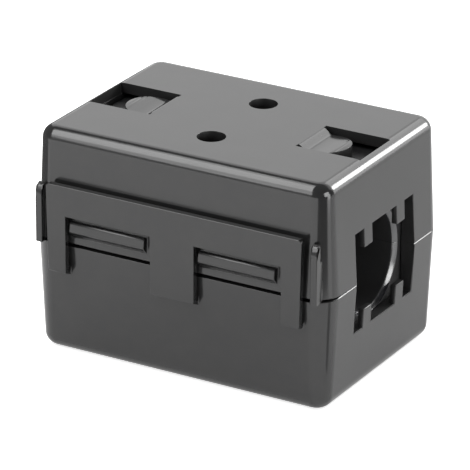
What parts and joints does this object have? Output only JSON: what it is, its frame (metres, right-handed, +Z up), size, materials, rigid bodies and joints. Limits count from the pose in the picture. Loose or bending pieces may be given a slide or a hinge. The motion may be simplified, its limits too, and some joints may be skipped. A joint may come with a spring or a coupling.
{
  "type": "clip-on ferrite bead",
  "caption": "Clip-on ferrite bead for a round cable: a split ferrite core in a hinged plastic case with a latch plate, cable teeth and spring windows.",
  "frame": {"origin": "on the cable axis, at mid length and on the parting plane of the closed case", "axes": "+X along the cable, -Y towards the latch, +Z up, out of the upper half"},
  "size_m": [0.036, 0.0283, 0.0252],
  "materials": {
    "case_nylon": "satin moulded nylon, near black",
    "ferrite": "sintered ferrite, dark grey, ground bevels"
  },
  "bodies": {
    "lower": {"lower_case": "case_nylon", "lower_core": "ferrite", "hinge_web": "case_nylon"},
    "upper": {"upper_case": "case_nylon", "upper_core": "ferrite"},
    "latch": {"latch_plate": "case_nylon"}
  },
  "joints": [
    {"name": "case_hinge", "type": "hinge", "parent": "lower", "child": "upper", "pos_m": [0, 0.0133, 0], "axis": [-1, 0, 0], "range_deg": [0, 180], "deforming": ["hinge_web", "latch_plate"]},
    {"name": "latch_flex", "type": "hinge", "parent": "lower", "child": "latch", "pos_m": [0, -0.01368, -0.0024], "axis": [1, 0, 0], "range_deg": [0, 8.5], "stiffness_Nm_per_rad": 0.35}
  ]
}
